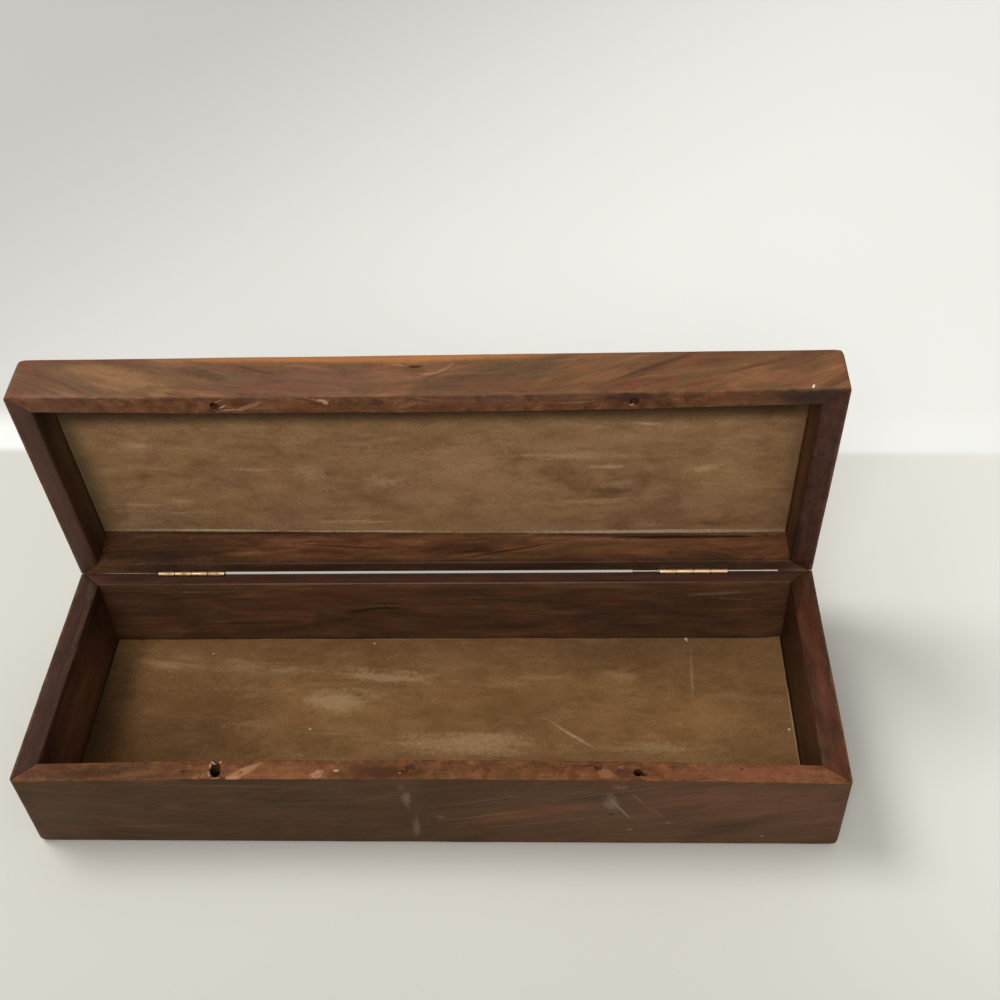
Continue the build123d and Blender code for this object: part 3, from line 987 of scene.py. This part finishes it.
# The lid's four boards: the same rosewood, cut from a livelier plank. They are made with the box
# shut and then opened about the hinge line.
LID_RIM = 30.1 * MM
LID_TOP = 45.5 * MM
OPEN_ANGLE = 86
open_lid = (
    Matrix.Translation((0, HINGE_Y, HINGE_Z))
    @ Matrix.Rotation(radians(-OPEN_ANGLE), 4, "X")
    @ Matrix.Translation((0, -HINGE_Y, -HINGE_Z))
)
LID_CHIPS = (
    (-20, -37.4, 26, 1.6, 0.25),
    (-54.6, -33.8, 0.3, 0.9, 0.5),
    (-51, -32.6, 2.2, 0.7, 0.3),
    (-36, -37.3, 10, 1.1, 0.4),
    (-26.4, -36.8, 1.6, 1.1, 0.55),
    (-12, -36.8, 0.8, 1.1, 0.3),
    (2, -36.4, 3, 0.7, 0.2),
    (28, -36.4, 0.6, 1, 0.25),
    (54.6, -36.9, 1.6, 1, 0.3),
    (40, -37.3, 2, 1, 0.2),
    (72, -37.3, 2.4, 1, 0.2),
    (-2.2, -37.4, 1.6, 1.1, 0.55, 40.9),
    (2.5, -37.4, 1.4, 0.8, 0.25, 39.6),
)
lid_boards = make_tray(
    "lid", LID_TOP, LID_RIM,
    [(-54.5 * MM, -34.6 * MM, 1.1 * MM), (54.9 * MM, -34.4 * MM, 1.1 * MM)],
    LID_CHIPS,
    [(-58 * MM, -20 * MM), (50 * MM, 58 * MM)],
)


def open_piece(piece):
    """Turn a piece of the lid from where it is made to where it stands open."""
    piece.data.transform(open_lid)


shut_again = open_lid.inverted()
LID_RIM_FACE = 30.1
LID_TOP_FACE = 45.5
lid_front_stains = marks_on_face(Y, FRONT_FACE, 4, (
    (-82, 38.4, 20, 4.8, "A07448", 0.65, 1.4, 16),
    (-104, 38, 7, 8, "68402C", 0.6, 1),
    (-90, 43.6, 20, 2.4, "6C4630", 0.5, 1.4),
    (-57, 37.8, 12, 2.4, "48301E", 0.65, 1.2, 18),
    (-26, 36.6, 26, 5.5, "785040", 0.5, 1.2),
    (-22, 40, 7, 2, "5C4630", 0.5, 1.4, 20),
    (20, 38.8, 26, 5.5, "58442C", 0.65, 1.4, -12),
    (46, 36.2, 14, 2.6, "92603E", 0.55, 1.4, -20),
    (62, 40, 15, 1.4, "4E3022", 0.65, 1.4, -26),
    (56, 37.6, 14, 0.6, "46291B", 0.6, 1.4, -24),
    (84, 37, 15, 1.5, "92603E", 0.5, 1.4, -22),
    (95, 41.4, 14, 3, "663E2C", 0.5, 1.4, -14),
    (88, 39.6, 16, 0.6, "5A3322", 0.5, 1.4, -18),
    (-44, 39.6, 10, 0.5, "422A1C", 0.55, 1.4, 16),
    (-96, 36, 12, 0.6, "4C2E1E", 0.5, 1.4, 28),
))
# The strip along the top edge is rubbed to bare wood
lid_front_marks_and_shade = [
    ((-17.5, -36.6, 45.2), (60, 4, 3.3), (0, 0, 0), "B4743E", 0.75, 0.4),
    *marks_on_face(Y, FRONT_FACE, 4, (
        (-2.2, 41, 2.3, 0.6, "2C190C", 0.9, 0.7),
        (100.3, 31.2, 0.35, 0.8, "E8D2BA", 0.95, 0.3, 20),
        (1.6, 38, 2.6, 0.5, "A07C54", 0.5, 0.9, -10),
        (5, 39.2, 2.4, 0.5, "A07C54", 0.45, 0.9, -32),
        (7.2, 41, 1.5, 0.4, "A07C54", 0.4, 0.9, -56),
        # Painted shadow along the pale scratch
        (3.4, 37.5, 4, 0.5, "442C1C", 0.5, 1, -22),
        (-6.4, 41.2, 2.2, 0.4, "A07850", 0.5, 1.2, 6),
    )),
]
lid_rim_stains = marks_on_face(Z, LID_RIM_FACE, 0.8, (
    (20, -34.8, 40, 3, "705040", 0.5, 1.4),
    (54, -34.8, 7, 3.6, "3E2220", 0.8, 1.2),
    (85, -34.8, 14, 2.6, "744A30", 0.5, 1.4),
    (102, -34.8, 17, 6, "2E2018", 0.9, 0.5, 0, 1.4),
))
lid_rim_marks_and_shade = marks_on_face(Z, LID_RIM_FACE, 0.8, (
    # Painted shade inside the left peg hole
    (-54.4, -33.4, 1.5, 1.2, "2C140B", 0.9, 0.7, 0, 3),
    (-52.4, -33.2, 1.4, 0.35, "C09474", 0.7, 1.2, -30),
    (-50.4, -31.9, 3.4, 0.4, "B89072", 0.7, 1.4, -6),
    (-46, -33, 5, 0.8, "9A7054", 0.65, 1.2, -22),
    (-53.4, -35, 1.8, 0.3, "9E7258", 0.6, 1.4, -24),
    (-46, -35.6, 5, 1.4, "54301E", 0.6, 1.2, -20, 1),
    (-35.5, -36.6, 12, 0.8, "90644A", 0.6, 1.4, 0, 1.2),
    (-44.4, -36.4, 1.2, 0.3, "D0A684", 0.8, 1.2),
    (-36, -36.4, 7, 0.28, "C09468", 0.7, 1.4, 4, 0.7),
    (-26.6, -35, 2.4, 0.4, "BC9068", 0.8, 1.2, 8, 1.4),
    (-25, -34.2, 0.9, 0.8, "B88C62", 0.8, 1.2, 12, 1.4),
    (-30, -35.2, 4.6, 0.3, "38200F", 0.6, 1.2, 6),
    (-38, -33.4, 8, 1, "86563A", 0.5, 1.4, -6),
    (-11.6, -34.4, 2, 1.2, "38201A", 0.6, 1.4),
    (-4, -33, 3.4, 0.8, "8A644A", 0.5, 1.4, -20),
    (0, -34.6, 5, 0.4, "38201A", 0.5, 1.4, 10),
    (28, -35, 1.3, 1.3, "3E2418", 0.6, 1.4),
    (40, -33.4, 6, 0.4, "8A644A", 0.45, 1.4, -4),
    (70, -35, 3, 0.9, "4A2E20", 0.5, 1.6),
    # Painted shade inside the right peg hole
    (54.9, -33.5, 1.4, 1.3, "2C140B", 0.9, 0.6, 0, 3),
    (54.4, -32.4, 0.7, 0.25, "C8A284", 0.8, 1),
    (52.8, -36.8, 3.4, 0.3, "AC8672", 0.8, 1.2, 0, 0.6),
))
LID_TONES = ((0.1, "634329"), (0.33, "784A2E"), (0.5, "6E5030"), (0.7, "845737"), (0.92, "926440"))
LID_RIM_TONES = ((0, "4E2E1A"), (0.35, "684127"), (0.7, "7E5030"), (1, "966844"))
LID_END_TONES = ((0.05, "322015"), (0.45, "432D1D"), (0.8, "563925"))
LID_PLACE = {"shut": shut_again, "panel_z": LID_TOP_FACE, "rim_z": LID_RIM_FACE}
lid_wood = {
    "front": make_wood(
        "lid_front_wood", LID_TONES, rim_tones=LID_RIM_TONES, tilt=0.05, sweep=0.0017, waver=14,
        depth=0.5, stains_and_shading=lid_front_stains, marks=lid_front_marks_and_shade, blush="7E4832", olive="665034",
        **LID_PLACE),
    "front_rim": make_wood(
        "lid_rim_wood", LID_TONES, rim_tones=LID_RIM_TONES,
        stains_and_shading=lid_rim_stains, marks=lid_rim_marks_and_shade, blush="74402C", **LID_PLACE),
    "back": make_wood(
        "lid_back_wood", ((0.05, "4E3623"), (0.4, "704C32"), (0.7, "8D5E3F"), (0.95, "A57350")),
        tilt=0.03, **LID_PLACE,
        stains_and_shading=(
            ((-80, 31.9, 36), (34, 2, 7), (0, 0, 0), "54392A", 0.75, 1.2),
            ((58, 31.9, 36), (38, 2, 4.5), (0, -3, 0), "8E6340", 0.6, 1.4),
            ((6, 31.9, 34), (14, 2, 1.2), (0, -10, 0), "3A2416", 0.6, 1.4),
            ((0, 34, 30.3), (240, 5, 1.9), (0, 0, 0), "36251B", 0.85, 0.5),
            ((-90, 31.9, 33), (30, 2, 3), (0, 0, 0), "3A2A22", 0.6, 1),
        ),
        marks=marks_on_face(Y, BACK_INNER_FACE, 1.2, (
            # Painted shadow under the lining's lower edge
            (74.3, 39.6, 27, 0.7, "22130A", 0.85, 0.8),
            (-30, 36.6, 16, 0.4, "28180E", 0.6, 1.4, 4),
            (20, 34.6, 14, 0.4, "28180E", 0.6, 1.4, -12),
            (0, 30.1, 104, 0.3, "7A5040", 0.5, 0.9, 0, 0.3),
        ))),
    "left_end": make_wood(
        "lid_left_end_wood", LID_END_TONES, ends=True, **LID_PLACE,
        blush="5A3222", olive="46351F",
        stains_and_shading=(
            ((-103.5, 0, 41.5), (1.6, 60, 9), (0, 0, 0), "6E5236", 0.8, 0.6),
            ((-107, 0, 30.1), (6, 60, 1.6), (0, 0, 0), "583828", 0.7, 0.6),
        )),
    "right_end": make_wood(
        "lid_right_end_wood", LID_END_TONES, ends=True, **LID_PLACE,
        rim_tones=((0, "321A12"), (0.35, "402216"), (0.7, "4C2A1B"), (1, "5C3522")),
        blush="5A2C1C", olive="40301C",
        stains_and_shading=(
            ((103, 0, 39), (1.6, 60, 9), (0, 0, 0), "7A5030", 0.7, 0.6),
            ((103.4, 24, 30.1), (1.8, 13, 1.4), (0, 0, 0), "2A1A12", 0.85, 0.8),
        )),
}
finish_boards(lid_boards, "lid", "lid", LID_RIM, lid_wood)
for board in lid_boards.values():
    open_piece(board)


# Top panel: a thin rosewood board like the bottom one, glued into the lid's rebate flush with its
# top. Inside it is darker along the hinge side, where the lining stops short of it.
top_panel = make_panel("lid_top_board", LID_TOP - PANEL_THICKNESS, LID_TOP)
open_piece(top_panel)
top_panel.data.materials.append(make_wood(
    "top_panel_wood", ((0.05, "5A3A28"), (0.5, "84583C"), (0.9, "A06E4C")), tilt=0.05, sweep=0.001,
    **LID_PLACE,
    stains_and_shading=(((-50, 30.5, 41.5), (60, 3.5, 1.5), (0, 0, 0), "4A3020", 0.85, 0.4),)))
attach(top_panel, "lid")
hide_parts("lid_top_panel")


# Lid lining: the same brown suede, glued inside the lid. It was cut a little askew, so its hinge
# side runs 2.5 mm short at the left. It is rubbed pale in streaks and along its cut edge. A painted
# shadow lies along it under the front board, painted shade along its left end, and it is darker
# along its right end.
lid_lining = make_lining(
    "lid_suede_lining", LID_TOP - PANEL_THICKNESS, corner_lift=0, cut_short=2.5 * MM)
for vertex in lid_lining.data.vertices:
    vertex.co.z = 2 * (LID_TOP - PANEL_THICKNESS) - vertex.co.z
choose(lid_lining)
bpy.ops.mesh.flip_normals()
bpy.ops.object.mode_set(mode="OBJECT")
open_piece(lid_lining)
LID_LINING_FACE = 40.6
lid_lining_marks_and_shade = marks_on_face(Z, LID_LINING_FACE, 3, (
    # Painted shadow under the front board, which stands at the top with the lid open
    (0, -24, 500, 9, "2C1C0C", 0.85, 0.3),
    (0, -22.5, 500, 7.5, "241608", 0.8, 0.2),
    # Painted shade along the left end board; darker along the right end
    (-102, 0, 6, 44, "5E5234", 0.6, 0.5),
    (102, 0, 5, 44, "6E5A3A", 0.5, 0.5),
    (-83.6, -8.2, 4.5, 1.6, "C4A07A", 0.8, 1.6),
    (-53.1, 2.1, 8, 1.1, "BA9870", 0.7, 2.2),
    (-36.3, 3.8, 6, 3.6, "BC9E78", 0.6, 2),
    (-15.2, 7.3, 6.5, 2.6, "BC9E78", 0.6, 2),
    (-89, 16.9, 9, 1, "BA9870", 0.7, 2.2),
    (-75.9, 15.7, 5, 2.2, "BC9E78", 0.6, 2),
    (60.2, -14.9, 5.5, 1.1, "C4A27C", 0.8, 1.4, 4),
    (39.7, -2.5, 18, 2, "BE9C74", 0.7, 1.8),
    (49.6, 2, 7, 1, "C6A680", 0.8, 1.8),
    (76.7, 3.1, 5, 2.2, "C4A27C", 0.75, 1.6, -18),
    (45.3, 16.7, 13, 1.8, "BA986E", 0.65, 2),
    (6, 5, 30, 16, "B8906C", 0.45, 1.8),
    (-45, 10, 22, 8, "A8805C", 0.5, 2.2, 12),
    (48, -8, 30, 5, "A88460", 0.5, 2.2, -6),
    (84, 14, 14, 9, "A8845E", 0.45, 2.2),
    (-26.2, 25.1, 14, 1.2, "C0A27C", 0.7, 2.2),
    (-71.1, 28.8, 29, 0.8, "D8C4A4", 0.8, 2, 0.94),
    (-20, 29.8, 30, 0.7, "D8C4A4", 0.7, 2.2, 0.94),
    (60, 30.6, 56, 1.2, "D8C4A4", 0.8, 1.2),
    (-102.9, 0, 0.4, 34, "A89878", 0.6, 0.6),
))
lid_lining.data.materials.append(make_suede(
    "lid_suede", "6A4A2A", "9C774E", "865C44", "B4906A", "C0A07C", lid_lining_marks_and_shade, shut=shut_again))
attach(lid_lining, "lid")
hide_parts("lid_lining")


# Hinges: two brass leaves each, stamped from sheet and rolled round a wire pin, gone dull in
# patches, the right one more golden than the left.
brass, tree, shader, place = add_material("old_brass")
tarnish = add_noise(tree, place, Scale=0.35, Detail=4)
to_right = remap(tree, split(tree, place)["X"], -60, 60)
bright = blend_colours(tree, to_right, "BC9C76", "D6B388")
shade = blend_colours(tree, remap(tree, tarnish, 0.5, 0.75, 0, 0.7), bright, "86683C")
gloss = remap(tree, tarnish, 0.35, 0.7, 0.3, 0.5)
set_inputs(tree, shader, {"Base Color": shade, "Roughness": gloss, "Metallic": 1.0})
add_bump(tree, shader, add_noise(tree, place, Scale=3, Detail=3), distance=0.00002, strength=0.3)
for node_name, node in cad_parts.items():
    if "hinge" in node_name:
        node.data.materials.clear()
        node.data.materials.append(brass)
